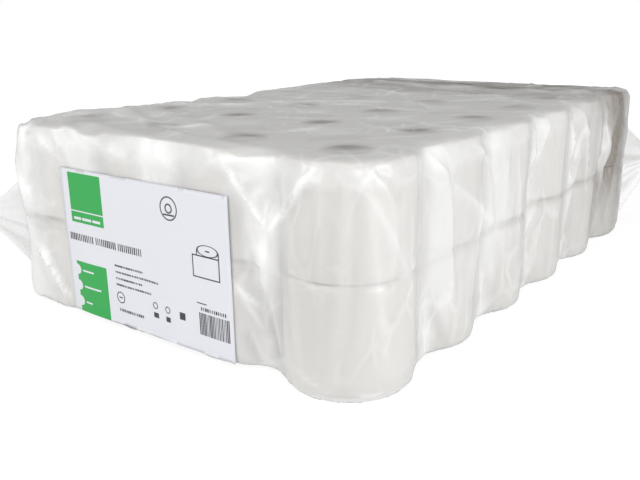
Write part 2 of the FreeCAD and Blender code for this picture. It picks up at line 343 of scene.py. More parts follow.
def settle(piece):
    """Turns a piece's modifiers into plain mesh."""
    graph = bpy.context.evaluated_depsgraph_get()
    mesh = bpy.data.meshes.new_from_object(piece.evaluated_get(graph))
    piece.modifiers.clear()
    piece.data = mesh


def turn_outwards(piece):
    """Makes every face of a closed mesh look outwards."""
    shell = bmesh.new()
    shell.from_mesh(piece.data)
    bmesh.ops.recalc_face_normals(shell, faces=shell.faces)
    shell.to_mesh(piece.data)
    shell.free()


def points_of(piece):
    """A piece's points as rows of x, y and z."""
    points = np.empty(len(piece.data.vertices) * 3)
    piece.data.vertices.foreach_get("co", points)
    return points.reshape(-1, 3)


centres = [(half_x - c * roll_pitch, half_y - r * roll_pitch) for c in range(COLUMNS) for r in range(ROWS)]
stack_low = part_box("lower_roll_column_1_row_1")[0].z
stack_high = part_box("upper_roll_column_1_row_1")[1].z


def stand_off(points):
    """How far points lie outside the nearest stack of rolls, and the way out of it."""
    off = np.full(len(points), 1.0)
    way_out = np.zeros((len(points), 3))
    rim = ROLL_EDGE_MM * MM
    middle, half = (stack_low + stack_high) / 2, (stack_high - stack_low) / 2
    layer_gap = rim * 0.5 * np.clip(1 - np.abs(points[:, 2] - middle) / rim, 0, 1)
    for cx, cy in centres:
        from_axis = np.hypot(points[:, 0] - cx, points[:, 1] - cy)
        aside = from_axis - (roll_radius - rim) + layer_gap
        above = np.abs(points[:, 2] - middle) - (half - rim)
        inside = np.minimum(np.maximum(aside, above), 0)
        out = np.hypot(np.maximum(aside, 0), np.maximum(above, 0)) + inside - rim
        nearer = out < off
        off[nearer] = out[nearer]
        sideways = np.where(aside > above, np.maximum(aside, 1e-6), np.maximum(aside, 0))
        upwards = np.where(aside > above, np.maximum(above, 0), np.maximum(above, 1e-6))
        size = np.hypot(sideways, upwards)
        radial = np.stack([points[:, 0] - cx, points[:, 1] - cy], axis=-1)
        radial /= np.maximum(from_axis, 1e-6)[:, None]
        up = np.sign(points[:, 2] - middle) * upwards / size
        direction = np.column_stack([radial * (sideways / size)[:, None], up])
        way_out[nearer] = direction[nearer]
    return off, way_out


def clear_of_rolls(points):
    """Points moved out of the rolls, with a thin gap of air left between."""
    for _ in range(3):
        off, way_out = stand_off(points)
        points = points + way_out * np.clip(FILM_GAP_MM * MM - off, 0, None)[:, None]
    return points


def label_share(points):
    """1 where the film lies under the label, 0 a little way outside it."""
    reach = np.maximum(label_low.x - points[:, 0], points[:, 0] - label_high.x)
    reach = np.maximum(reach, points[:, 2] - label_high.z)
    return np.clip(1.4 - reach / 0.010, 0, 1) * (points[:, 1] < label_high.y + 0.006)


# The film starts as the even bag of the frame. A cloth simulation with a little slack
# and a vacuum inside then lays it over the rolls, held at the floor, label and ears.
film = closed_bag("film_wrap", side_rows)
film.modifiers.new("even_cells", "REMESH").voxel_size = VOXEL_MM * MM
film.modifiers.new("soften", "SMOOTH").iterations = 8
settle(film)
rest = points_of(film)
tips = [side * np.array([half_x + slack + 0.018, half_y + slack + 0.018]) for side in (-1, 1)]
from_tip = np.min([np.hypot(*(rest[:, :2] - tip).T) for tip in tips], axis=0)
held = (rest[:, 2] < 0.0015) | (label_share(rest) > 0.4) | (from_tip < 0.012)
shell = bmesh.new()
roll_height = roll_high.z - roll_low.z
for cx, cy in centres:
    for foot in (stack_low, stack_high - roll_height):
        spot = Matrix.Translation((cx, cy, foot + roll_height / 2))
        bmesh.ops.create_cone(
            shell, cap_ends=True, segments=40, radius1=roll_radius, radius2=roll_radius,
            depth=roll_height, matrix=spot,
        )
rims = [e for e in shell.edges if abs(e.verts[0].co.z - e.verts[1].co.z) < 1e-5]
bmesh.ops.bevel(shell, geom=rims, offset=ROLL_EDGE_MM * MM, segments=2, profile=0.5, affect="EDGES")
shell_mesh = bpy.data.meshes.new("roll_shapes")
shell.to_mesh(shell_mesh)
shell.free()
roll_shapes = bpy.data.objects.new("roll_shapes", shell_mesh)
bpy.context.scene.collection.objects.link(roll_shapes)
roll_shapes.modifiers.new("solid", "COLLISION")
roll_shapes.collision.thickness_outer = 0.0004
roll_shapes.collision.cloth_friction = 8.0
film.vertex_groups.new(name="held").add(np.flatnonzero(held).tolist(), 1.0, "REPLACE")
cloth = film.modifiers.new("cloth", "CLOTH")
for name, value in {
    "quality": 5,
    "mass": 0.03,
    "air_damping": 2.0,
    "tension_stiffness": 60.0,
    "compression_stiffness": 60.0,
    "shear_stiffness": 30.0,
    "bending_stiffness": 0.02,
    "use_pressure": True,
    "uniform_pressure_force": CLOTH_VACUUM,
    "shrink_min": CLOTH_SLACK,
    "vertex_group_mass": "held",
}.items():
    setattr(cloth.settings, name, value)
cloth.settings.effector_weights.gravity = 0
cloth.collision_settings.distance_min = 0.0004
cloth.collision_settings.collision_quality = 3
cloth.point_cache.frame_end = CLOTH_FRAMES
for step in range(1, CLOTH_FRAMES + 1):
    bpy.context.scene.frame_set(step)
settle(film)
bpy.context.scene.frame_set(1)
bpy.data.objects.remove(roll_shapes)
move = points_of(film) - rest
size = np.linalg.norm(move, axis=1)
move *= np.minimum(1, MOVE_CAP_MM * MM / np.maximum(size, 1e-9))[:, None]
film.data.vertices.foreach_set("co", clear_of_rolls(rest + move).reshape(-1))
film.modifiers.new("finer", "SUBSURF").levels = 1
settle(film)
points = points_of(film)

# Where each point lies when the sides are unrolled, in millimetres: 0 is the near right
# corner, the long right side runs up to 550 and the near short end down to -330.
flat_x = np.clip(points[:, 0], -half_x, half_x)
flat_y = np.clip(points[:, 1], -half_y, half_y)
turn = np.arctan2(points[:, 1] - flat_y, points[:, 0] - flat_x)
turn = np.mod(turn + math.pi / 4 + math.pi, 2 * math.pi) - math.pi
across = (post_radius * turn + np.sign(turn) * (flat_y + half_y + half_x - flat_x)) / MM
up = points[:, 2] / MM
top_mm = film_height / MM
normals = np.empty(len(points) * 3)
film.data.vertex_normals.foreach_get("vector", normals)
normals = normals.reshape(-1, 3)
on_top = np.clip((np.abs(normals[:, 2]) - 0.45) / 0.3, 0, 1)
on_top[up < 20] = 0
on_side = np.clip((0.8 - np.abs(normals[:, 2])) / 0.3, 0, 1)
off_rolls = stand_off(points)[0] / MM


def crease(place, start, end, width, height):
    """How far one crease lifts the film: sharp on one side, soft on the other."""
    start, end = np.array(start, float), np.array(end, float)
    run = end - start
    length = np.hypot(*run)
    share = ((place[0] - start[0]) * run[0] + (place[1] - start[1]) * run[1]) / length**2
    aside = ((place[0] - start[0]) * run[1] - (place[1] - start[1]) * run[0]) / length
    aside = np.where(aside > 0, aside / width, -aside / (0.45 * width))
    return height * np.exp(-aside) * np.sin(math.pi * np.clip(share, 0, 1)) ** 0.7


def hollow(place, middle, reach, depth):
    """How far a soft round hollow lowers the film."""
    away = ((place[0] - middle[0]) / reach[0]) ** 2 + ((place[1] - middle[1]) / reach[1]) ** 2
    return -depth * np.exp(-away)


# The folds that the photo shows, as start, end, width and height in millimetres.
NEAR_CORNER_FOLDS = (
    ((-126, 182), (-87, 128), 5.0, 6.5),
    ((-30, 188), (-85, 127), 5.0, 6.5),
    ((-86, 134), (-92, 74), 9.0, 3.4),
    ((-128, 99), (-84, 95), 4.0, -2.0),
    ((-126, 84), (-98, 58), 4.0, 4.0),
    ((-112, 40), (-104, 4), 5.0, -2.6),
    ((-10, 189), (10, 170), 2.6, 1.5),
    ((2, 188), (18, 172), 2.6, 1.3),
    ((-18, 182), (8, 166), 2.6, 1.1),
    ((4, 186), (22, 12), 9.0, 1.6),
    ((24, 172), (27, 66), 3.6, 0.9),
    ((36, 168), (40, 92), 3.6, 0.9),
    ((49, 158), (52, 56), 3.6, 1.0),
    ((-26, 114), (-10, 109), 2.4, 0.8),
    ((-60, 22), (-20, 6), 3.0, 1.2),
    ((-62, 104), (-26, 90), 3.4, 1.8),
    ((-34, 92), (2, 100), 3.0, 1.5),
    ((-6, 97), (34, 91), 3.0, 1.6),
    ((24, 95), (62, 104), 3.4, 1.8),
)
RIGHT_SIDE_FOLDS = (
    ((-6, 186), (54, 80), 6.0, 1.6),
    ((78, 190), (106, 163), 5.0, 2.4),
    ((104, 166), (228, 90), 7.0, 2.2),
    ((146, 188), (204, 160), 5.0, 2.0),
    ((110, 63), (124, 53), 2.6, 1.4),
    ((114, 72), (124, 63), 2.6, 1.2),
    ((176, 150), (162, 40), 9.0, 2.2),
    ((250, 176), (262, 70), 6.0, 2.2),
    ((296, 188), (318, 96), 4.0, 5.4),
    ((340, 186), (322, 120), 3.4, 3.6),
    ((402, 188), (428, 98), 4.0, 5.4),
    ((452, 188), (470, 80), 4.0, 5.0),
    ((508, 188), (494, 96), 4.0, 4.6),
    ((552, 189), (556, 98), 4.0, 4.6),
    ((330, 92), (300, 30), 5.0, 2.4),
    ((440, 92), (410, 26), 5.0, 2.4),
    ((500, 88), (520, 40), 5.0, 2.2),
)
LEFT_END_FOLDS = (
    ((-424, 184), (-400, 104), 10.0, 3.4),
    ((-392, 189), (-342, 154), 4.5, 3.0),
    ((-396, 72), (-356, 12), 4.0, 7.5),
    ((-408, 88), (-346, 90), 6.0, -3.2),
    ((-300, 186), (-240, 172), 4.0, 1.2),
    ((-214, 187), (-170, 160), 4.0, 1.2),
)
on_wall = (across, up)
side_lift = hollow(on_wall, (-78, 162), (22, 20), 9.0) + hollow(on_wall, (-88, 55), (16, 34), 3.0)
side_lift += hollow(on_wall, (-416, 130), (26, 90), -9.0) + hollow(on_wall, (-416, 8), (30, 44), -9.0)
side_lift += hollow(on_wall, (99, 138), (20, 46), -8.0) + hollow(on_wall, (209, 138), (18, 40), -6.0)
folds = np.zeros(len(points))
for start, end, width, height in NEAR_CORNER_FOLDS + RIGHT_SIDE_FOLDS + LEFT_END_FOLDS:
    folds += crease(on_wall, start, end, width, height)
side_lift += folds
waist_mm = waist / MM + 3 * np.sin(across / 70.0) * np.clip(off_rolls / 10, 0, 1)
side_lift -= (1.6 + 0.7 * np.sin(across / 31.0)) * np.exp(-(((up - waist_mm) / 3.6) ** 2))

# In each valley a pair of creases runs down from the rims of two neighbours, and a lower
# pair rises from the foot.
chance = np.random.default_rng(CREASE_SEED)
long_run, short_run = 2 * half_y / MM, 2 * half_x / MM
round_corner = post_radius * math.pi / 4 / MM
pitch_mm = roll_pitch / MM
valleys = [round_corner + pitch_mm * (row + 0.5) for row in range(ROWS - 1)]
valleys += [3 * round_corner + long_run + pitch_mm * (column + 0.5) for column in range(COLUMNS - 1)]
valleys += [-3 * round_corner - short_run - pitch_mm * (row + 0.5) for row in range(ROWS - 1)]
for valley in valleys:
    for side in (-1, 1):
        high = (valley + side * chance.uniform(30, 42), top_mm - chance.uniform(0, 6))
        deep = (valley + side * chance.uniform(0, 6), top_mm - chance.uniform(45, 80))
        side_lift += crease(on_wall, high, deep, 4.5, chance.uniform(0.8, 1.9))
        low = (valley + side * chance.uniform(22, 36), chance.uniform(0, 8))
        rise = (valley + side * chance.uniform(0, 6), chance.uniform(35, 60))
        side_lift += crease(on_wall, low, rise, 4.5, chance.uniform(0.7, 1.5))

# Slanting creases lie anywhere, and more fan out from the ears, where the slack went.
for _ in range(SLANTING_CREASES):
    start = (chance.uniform(across.min(), across.max()), chance.uniform(10, top_mm - 10))
    angle = math.radians(90 + chance.normal(0, 28))
    reach = chance.uniform(30, 110)
    end = (start[0] + reach * math.cos(angle), start[1] + reach * math.sin(angle))
    side_lift += crease(on_wall, start, end, chance.uniform(2.2, 5), chance.uniform(0.2, 1.0))
for corner in (-2 * round_corner - short_run, 2 * round_corner + long_run):
    for tilt in np.linspace(-60, 60, 7):
        for way in (-1, 1):
            angle = math.radians(tilt + chance.uniform(-5, 5))
            start = (corner + way * 6, 84 + 40 * math.sin(angle))
            reach = chance.uniform(40, 90)
            end = (start[0] + way * reach * math.cos(angle), start[1] + reach * math.sin(angle))
            side_lift += crease(on_wall, start, end, 4.0, chance.uniform(0.6, 1.6))

# On top the film dips into the gaps and the cores, and puffs up between a few rolls.
flat_place = (points[:, 0] / MM, points[:, 1] / MM)
from_axis = np.min([np.hypot(points[:, 0] - cx, points[:, 1] - cy) for cx, cy in centres], axis=0) / MM
over_core = np.clip(1.3 - from_axis / 18, 0, 1) * on_top
top_lift = -0.6 * np.clip(1 - (from_axis / CORE_HALF_MM) ** 2, 0, 1) - 0.4 * np.clip(off_rolls / 16, 0, 1)
TOP_HOLLOWS = (
    ((-214, 0), (26, 22), 12.0),
    ((-214, -104), (22, 16), 6.0),
    ((-190, -240), (60, 60), -4.0),
    ((-120, 170), (90, 120), -3.0),
)
for middle, reach, depth in TOP_HOLLOWS:
    top_lift += hollow(flat_place, middle, reach, depth)
top_folds = np.zeros(len(points))
for _ in range(TOP_CREASES):
    start = (chance.uniform(-215, 215), chance.uniform(-325, 325))
    angle = chance.uniform(0, math.pi)
    reach = chance.uniform(40, 140)
    end = (start[0] + reach * math.cos(angle), start[1] + reach * math.sin(angle))
    top_folds += crease(flat_place, start, end, chance.uniform(2.2, 5), chance.uniform(0.4, 1.6))
top_lift += top_folds

lift = side_lift * on_side * np.clip(up / 10, 0, 1) + top_lift * on_top
lift *= 1 - label_share(points)
points = clear_of_rolls(points + normals * (lift * MM)[:, None])

# At the foot of the near corner a little film lies out on the floor. Under the label the
# film stays behind it.
skirt = SKIRT_MM * np.exp(-((up / 4.0) ** 2) - ((across + 4) / 46) ** 2)
points[:, 0] += skirt * MM * np.cos(turn - math.pi / 4)
points[:, 1] += skirt * MM * np.sin(turn - math.pi / 4)
behind_label = label_high.y + LABEL_GAP_MM * MM
points[:, 1] += label_share(points) * np.maximum(behind_label - points[:, 1], 0)
points[:, 2] = np.clip(points[:, 2], 0.0, film_height + PUFF_CAP_MM * MM)
film.data.vertices.foreach_set("co", points.reshape(-1))
film.data.shade_smooth()
film.data.update()

# How loose the film is: milky where it stands off the rolls, and clear over the cores.
looseness = np.clip(stand_off(points)[0] / MM / 14, 0, 1) * (1 - 0.6 * on_top)
looseness -= 1.05 * over_core * np.clip((240 - flat_place[1]) / 400, 0.3, 1)

# It is clearest on the near roll, beside the label and along the waist, where the paper
# and the gap between the layers show. Each patch is its middle, its reach and how clear.
CLEAR_PATCHES = (
    ((-36, 82), (34, 76), 0.55),
    ((-104, 66), (24, 60), 0.55),
    ((-114, 140), (14, 34), 0.55),
    ((-385, 96), (56, 3), 0.9),
    ((340, 95), (210, 4), 0.9),
    ((-80, 150), (16, 44), -0.6),
)
for middle, reach, share in CLEAR_PATCHES:
    looseness += hollow(on_wall, middle, reach, share) * on_side

# Along the folds and the top rim it has gone white. The far end gets painted shade, darker higher up.
looseness += np.clip(folds / 4, -0.3, 0.9) * on_side + np.clip(top_folds / 1.6, 0, 1) * on_top
rim_white = 0.6 * np.exp(-(((up - 184) / 12) ** 2)) * (1 - on_top)
looseness += rim_white * np.clip(1 - points[:, 1] / 0.2, 0, 1)
# Painted shade: how far the film's colour is darkened, growing towards the far end and higher up.
far_painted_shade = np.clip((points[:, 1] - 0.1) / 0.16, 0, 1) * np.clip(0.5 + up / 160, 0, 1)
for name, values in (("loose", looseness), ("painted_far_shade", far_painted_shade)):
    attribute = film.data.attributes.new(name, "FLOAT", "POINT")
    attribute.data.foreach_set("value", values.astype(np.float32))

# Blown polyethylene film: milky where it stands off the rolls, nearly clear where it is
# drawn tight over them, with a wet gloss and with creases that have gone white.
film_plastic, tree = new_material("milky_polyethylene_film")
place = add_node(tree, "ShaderNodeTexCoord").outputs["Object"]
how_loose = add_node(tree, "ShaderNodeAttribute", attribute_name="loose").outputs["Fac"]
wander = add_node(tree, "ShaderNodeTexNoise", {"Vector": place, "Scale": 9.0, "Detail": 3.0})
bent = add_node(
    tree,
    "ShaderNodeVectorMath",
    {0: wander.outputs["Color"], 1: (0.05, 0.05, 0.05), 2: place},
    operation="MULTIPLY_ADD",
)
# The film was drawn down from the top edge, so the fine creases run steeply.
drawn = add_node(tree, "ShaderNodeMapping", {"Vector": bent.outputs[0], "Scale": (34.0, 34.0, 13.0)})
cell_inputs = {"Vector": drawn.outputs[0], "Scale": 1.0, "Randomness": 1.0}
cells = add_node(tree, "ShaderNodeTexVoronoi", cell_inputs, feature="DISTANCE_TO_EDGE")
edge_range = {"Value": cells.outputs["Distance"], "From Max": 0.1, "To Min": 1.0, "To Max": 0.0}
whitened = add_node(tree, "ShaderNodeMapRange", edge_range)
patches = add_node(tree, "ShaderNodeTexNoise", {"Vector": place, "Scale": 11.0, "Detail": 2.0})
patch_range = {"Value": patches.outputs["Fac"], "From Min": 0.48, "From Max": 0.66}
crumpled = add_node(tree, "ShaderNodeMapRange", patch_range)
in_patches = {0: whitened.outputs["Result"], 1: crumpled.outputs["Result"]}
crease_white = add_node(tree, "ShaderNodeMath", in_patches, operation="MULTIPLY")
ripple = add_node(tree, "ShaderNodeTexNoise", {"Vector": bent.outputs[0], "Scale": 46.0, "Detail": 5.0})
creased = {0: crease_white.outputs[0], 1: 0.3, 2: ripple.outputs["Fac"]}
relief = add_node(tree, "ShaderNodeMath", creased, operation="MULTIPLY_ADD")
level = add_node(
    tree, "ShaderNodeSeparateXYZ", {"Vector": add_node(tree, "ShaderNodeNewGeometry").outputs["Normal"]}
)
calmer = add_node(
    tree,
    "ShaderNodeMapRange",
    {"Value": level.outputs["Z"], "From Min": 0.5, "From Max": 0.95, "To Min": 0.4, "To Max": 0.1},
)
film_bump = add_node(
    tree,
    "ShaderNodeBump",
    {"Strength": calmer.outputs["Result"], "Distance": 0.003, "Height": relief.outputs[0]},
)
edge_on = add_node(tree, "ShaderNodeLayerWeight", {"Blend": 0.35, "Normal": film_bump.outputs["Normal"]})
haze = add_node(
    tree, "ShaderNodeMath", {0: how_loose, 1: FILM_LOOSE_HAZE, 2: FILM_HAZE}, operation="MULTIPLY_ADD"
)
white_creases = {0: crease_white.outputs[0], 1: CREASE_HAZE, 2: haze.outputs[0]}
whiter = add_node(tree, "ShaderNodeMath", white_creases, operation="MULTIPLY_ADD")
haze_seen = add_node(
    tree,
    "ShaderNodeMath",
    {0: edge_on.outputs["Facing"], 1: 0.3, 2: whiter.outputs[0]},
    operation="MULTIPLY_ADD",
    use_clamp=True,
)
clear = add_node(tree, "ShaderNodeBsdfTransparent", {"Color": linear(FILM_CLEAR_COLOUR)})

# Painted shade: towards the far end the film's colour is darkened to grey and faint brown, in streaks,
# standing in for the shade there.
painted_shade_amount = add_node(tree, "ShaderNodeAttribute", attribute_name="painted_far_shade").outputs["Fac"]
streaked = add_node(tree, "ShaderNodeMapping", {"Vector": bent.outputs[0], "Scale": (9.0, 22.0, 6.0)})
streaks = add_node(tree, "ShaderNodeTexNoise", {"Vector": streaked.outputs[0], "Scale": 1.0, "Detail": 3.0})
streak_range = {"Value": streaks.outputs["Fac"], "From Min": 0.38, "From Max": 0.62, "To Min": 0.15}
streak_share = add_node(tree, "ShaderNodeMapRange", streak_range).outputs["Result"]
painted_shade_streaks = add_node(tree, "ShaderNodeMath", {0: painted_shade_amount, 1: streak_share}, operation="MULTIPLY")
film_colours = {0: painted_shade_streaks.outputs[0], 6: linear(FILM_COLOUR), 7: linear(FILM_PAINTED_SHADE_COLOUR)}
film_mix = add_node(tree, "ShaderNodeMix", film_colours, data_type="RGBA")
uneven_face = film_bump.outputs["Normal"]
milky_inputs = {"Base Color": film_mix.outputs[2], "Roughness": 0.35, "IOR": 1.51, "Normal": uneven_face}
milky = add_node(tree, "ShaderNodeBsdfPrincipled", milky_inputs)
gloss = add_node(tree, "ShaderNodeBsdfGlossy", {"Roughness": 0.2, "Normal": uneven_face})
hazed = {0: haze_seen.outputs[0], 1: clear.outputs[0], 2: milky.outputs[0]}
body = add_node(tree, "ShaderNodeMixShader", hazed)

# The gloss grows where the film is seen edge-on, up to a limit that is lower on top.
mirror = add_node(
    tree, "ShaderNodeMath", {0: edge_on.outputs["Fresnel"], 1: 0.8, 2: 0.02}, operation="MULTIPLY_ADD"
)
most_shine = add_node(
    tree,
    "ShaderNodeMapRange",
    {"Value": level.outputs["Z"], "From Min": 0.5, "From Max": 0.95, "To Min": 0.36, "To Max": 0.14},
)
capped = {0: mirror.outputs[0], 1: most_shine.outputs["Result"]}
shine = add_node(tree, "ShaderNodeMath", capped, operation="MINIMUM")
glossed = {0: shine.outputs[0], 1: body.outputs[0], 2: gloss.outputs[0]}
film_surface = add_node(tree, "ShaderNodeMixShader", glossed)
add_node(tree, "ShaderNodeOutputMaterial", {"Surface": film_surface.outputs[0]})
film.data.materials.clear()
film.data.materials.append(film_plastic)
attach(film, "root")
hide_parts("film_bag")


# The two ears: the film's corners, pressed flat into a fan of soft pleats that stands out
# from the bag about halfway up. They are the same film, sealed along the tip.
EAR_REACH_MM = 46.0
EAR_ROOT_MM = 124.0
EAR_TIP_MM = 18.0
EAR_HEIGHT_MM = 80.0
EAR_LIFT_MM = 15.0
EAR_HOLLOW = 1.1
EAR_SINK_MM = 4.0
EAR_PLEATS = 3
EAR_PLEAT_MM = 1.2
EAR_WALL_MM = 0.3
EAR_CLEARER = -0.5

for side, ear_name in ((-1, "near_film_ear"), (1, "far_film_ear")):
    out = np.array([side, side]) / math.sqrt(2)
    beside = np.array([-out[1], out[0]])
    root = side * np.array([half_x + slack, half_y + slack]) + out * (post_radius - slack - EAR_SINK_MM * MM)
    fan = np.linspace(-1, 1, 121)
    rows = []
    for share in np.linspace(0, 1, 26):
        half = (EAR_TIP_MM + (EAR_ROOT_MM - EAR_TIP_MM) * (1 - share) ** EAR_HOLLOW) / 2
        pleat = EAR_PLEAT_MM * (1 - 0.6 * share) * np.sin(fan * EAR_PLEATS * math.pi + 1.3 * np.sin(3 * fan))
        fold = 8.0 * (1 - share) * (1 - np.abs(fan) * 2)
        outs = (EAR_SINK_MM + EAR_REACH_MM) * share + 1.5 * np.sin(7 * fan + side) * share
        ups = EAR_HEIGHT_MM + EAR_LIFT_MM * share + half * fan
        flat = root + out * (outs * MM)[:, None] + beside * ((pleat + fold) * MM)[:, None]
        rows.append(np.concatenate([flat, (ups * MM)[:, None]], axis=1))
    rows = np.array(rows)
    thick = np.array([*beside, 0]) * EAR_WALL_MM * MM / 2
    loop = np.concatenate([rows + thick, (rows - thick)[:, ::-1]], axis=1)
    ear = closed_bag(ear_name, loop)
    ear_loose = ear.data.attributes.new("loose", "FLOAT", "POINT")
    ear_loose.data.foreach_set("value", np.full(len(ear.data.vertices), EAR_CLEARER, np.float32))
    ear.data.materials.append(film_plastic)
    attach(ear, "root")
    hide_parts("film_bag")


# The label: a sheet of smooth coated paper, stuck to the film of the near short end. The
# film under it is not quite flat, so the sheet is faintly wavy.
LABEL_COLOUR = "#D9DAE0"
LABEL_CELL_MM = 4.0
LABEL_WALL_MM = 0.3
INK_SINK_MM = 0.05


def label_front(x, z):
    """How far in front of its flat place the label lies, in millimetres."""
    ripple = 0.5 * math.sin(x / 21.0 + 0.4) + 0.35 * math.sin(x / 9.5 + z / 60.0)
    return 0.9 + ripple * (0.5 + 0.5 * math.sin(z / 33.0 + 0.8))


def on_label_sheet(x, z, raised=0.0):
    """A point of the label's face, from millimetres across and up, in metres."""
    return (x * MM, label_high.y - (label_front(x, z) + LABEL_WALL_MM + raised) * MM, z * MM)


def flat_piece(name, shapes, material, raised):
    """Thin closed plates that follow the label, from outlines of millimetre points."""
    points, faces = [], []
    for outline in shapes:
        first = len(points)
        count = len(outline)
        points += [on_label_sheet(x, z, raised) for x, z in outline]
        points += [on_label_sheet(x, z, -INK_SINK_MM) for x, z in outline]
        faces.append([first + i for i in range(count)])
        faces.append([first + count + i for i in reversed(range(count))])
        for i in range(count):
            after = (i + 1) % count
            faces.append([first + i, first + count + i, first + count + after, first + after])
    mesh = bpy.data.meshes.new(name)
    mesh.from_pydata(points, [], faces)
    mesh.materials.append(material)
    piece = bpy.data.objects.new(name, mesh)
    bpy.context.scene.collection.objects.link(piece)
    turn_outwards(piece)
    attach(piece, "root")


# Coated paper: smooth and faintly blue, with a weak gloss and almost no grain.
coated_paper, tree = new_material("coated_label_paper")
place = add_node(tree, "ShaderNodeTexCoord").outputs["Object"]
grain = add_node(tree, "ShaderNodeTexNoise", {"Vector": place, "Scale": 700.0, "Detail": 2.0})
grain_inputs = {"Strength": 0.08, "Distance": 0.0002, "Height": grain.outputs["Fac"]}
grain_bump = add_node(tree, "ShaderNodeBump", grain_inputs).outputs["Normal"]
paper_inputs = {"Base Color": linear(LABEL_COLOUR), "Roughness": 0.42, "IOR": 1.5, "Normal": grain_bump}
paper_shader = add_node(tree, "ShaderNodeBsdfPrincipled", paper_inputs)
add_node(tree, "ShaderNodeOutputMaterial", {"Surface": paper_shader.outputs[0]})

label_x = np.arange(label_low.x / MM, label_high.x / MM + 0.1, LABEL_CELL_MM)
label_z = np.linspace(label_low.z / MM, label_high.z / MM, 38)
front = [[on_label_sheet(x, z) for x in label_x] for z in label_z]
back = [[on_label_sheet(x, z, -LABEL_WALL_MM) for x in label_x] for z in label_z]
loop = np.array([row + list(reversed(other)) for row, other in zip(front, back)])
label = closed_bag("printed_label", loop)
label.data.materials.append(coated_paper)
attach(label, "root")
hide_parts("label")


# The print: flat offset ink in one green and one near-black, with marks left white on the
# green. It has rows of small bars, and all of it is as thick as ink and laid on the sheet.
GREEN_COLOUR = "#22A147"
BLACK_COLOUR = "#34343B"
INK_MM = 0.12


def ink(name, colour):
    """Offset ink on coated paper: even, with a weak gloss."""
    material, tree = new_material(name)
    place = add_node(tree, "ShaderNodeTexCoord").outputs["Object"]
    screen = add_node(tree, "ShaderNodeTexNoise", {"Vector": place, "Scale": 900.0})
    rough_range = {"Value": screen.outputs["Fac"], "To Min": 0.35, "To Max": 0.5}
    rough = add_node(tree, "ShaderNodeMapRange", rough_range)
    shader = {"Base Color": linear(colour), "Roughness": rough.outputs["Result"]}
    surface = add_node(tree, "ShaderNodeBsdfPrincipled", shader).outputs[0]
    add_node(tree, "ShaderNodeOutputMaterial", {"Surface": surface})
    return material


green_ink = ink("green_offset_ink", GREEN_COLOUR)
black_ink = ink("black_offset_ink", BLACK_COLOUR)

# Geometry nodes that lay out a row of bars whose widths differ a little.
row_tree = bpy.data.node_groups.new("row_of_bars", "GeometryNodeTree")
row_tree.is_modifier = True
row_tree.interface.new_socket(name="Geometry", in_out="OUTPUT", socket_type="NodeSocketGeometry")
row_inputs = {}
for name, kind in {
    "Count": "Int", "Pitch": "Float", "Width": "Float", "Height": "Float", "Spread": "Float", "Seed": "Int",
}.items():
    socket = row_tree.interface.new_socket(name=name, in_out="INPUT", socket_type="NodeSocket" + kind)
    row_inputs[name.lower()] = socket.identifier
given = add_node(row_tree, "NodeGroupInput").outputs
spots = add_node(row_tree, "GeometryNodeMeshLine", {"Count": given["Count"]})
index = add_node(row_tree, "GeometryNodeInputIndex").outputs[0]
bar_x = add_node(row_tree, "ShaderNodeMath", {0: index, 1: given["Pitch"]}, operation="MULTIPLY")
bar_place = add_node(row_tree, "ShaderNodeCombineXYZ", {"X": bar_x.outputs[0]})
laid_out = add_node(
    row_tree, "GeometryNodeSetPosition", {"Geometry": spots.outputs[0], "Position": bar_place.outputs[0]}
)
narrow = add_node(row_tree, "ShaderNodeMath", {0: 1.0, 1: given["Spread"]}, operation="SUBTRACT")
wide = add_node(row_tree, "ShaderNodeMath", {0: 1.0, 1: given["Spread"]}, operation="ADD")
between = {2: narrow.outputs[0], 3: wide.outputs[0], "Seed": given["Seed"]}
varied = add_node(row_tree, "FunctionNodeRandomValue", between, data_type="FLOAT")
bar_width = add_node(
    row_tree, "ShaderNodeMath", {0: varied.outputs[1], 1: given["Width"]}, operation="MULTIPLY"
)
bar_size = add_node(
    row_tree, "ShaderNodeCombineXYZ", {"X": bar_width.outputs[0], "Y": given["Height"], "Z": 1.0}
)
one_bar = add_node(row_tree, "GeometryNodeMeshCube", {"Size": (1.0, 1.0, 1.0)})
all_bars = add_node(
    row_tree,
    "GeometryNodeInstanceOnPoints",
    {"Points": laid_out.outputs[0], "Instance": one_bar.outputs["Mesh"], "Scale": bar_size.outputs[0]},
)
real_bars = add_node(row_tree, "GeometryNodeRealizeInstances", {"Geometry": all_bars.outputs[0]})
add_node(row_tree, "NodeGroupOutput", {"Geometry": real_bars.outputs[0]})


def printed_row(name, left, foot, **values):
    """A row of bars on the label, from the middle of the first one, in millimetres."""
    piece = bpy.data.objects.new(name, bpy.data.meshes.new(name))
    bpy.context.scene.collection.objects.link(piece)
    layout = piece.modifiers.new("row", "NODES")
    layout.node_group = row_tree
    for key, value in values.items():
        layout[row_inputs[key]] = value
    settle(piece)
    piece.data.materials.clear()
    piece.data.materials.append(black_ink)
    for point in piece.data.vertices:
        x, z, face = point.co
        point.co = on_label_sheet(left + x, foot + z, INK_MM if face > 0 else -INK_SINK_MM)
    turn_outwards(piece)
    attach(piece, "root")


def bar(left, foot, width, height):
    """The outlines of a bar, in short lengths so that it follows the label."""
    count, ups = max(1, round(width / 6)), max(1, round(height / 12))
    wide, high = width / count, height / ups
    corners = [(left + wide * i, foot + high * j) for i in range(count) for j in range(ups)]
    return [[(x, z), (x + wide, z), (x + wide, z + high), (x, z + high)] for x, z in corners]


def ring_of(x, z, outer, inner, count=32):
    """The outlines of a flat ring, as short pieces."""
    turns = [2 * math.pi * i / count for i in range(count + 1)]
    rays = [(math.cos(turn), math.sin(turn)) for turn in turns]
    return [
        [(x + r * c, z + r * s) for r, (c, s) in ((inner, a), (outer, a), (outer, b), (inner, b))]
        for a, b in zip(rays, rays[1:])
    ]


def disc(x, z, radius):
    """The outline of a round spot."""
    turns = [i * math.pi / 12 for i in range(24)]
    return [[(x + radius * math.cos(turn), z + radius * math.sin(turn)) for turn in turns]]


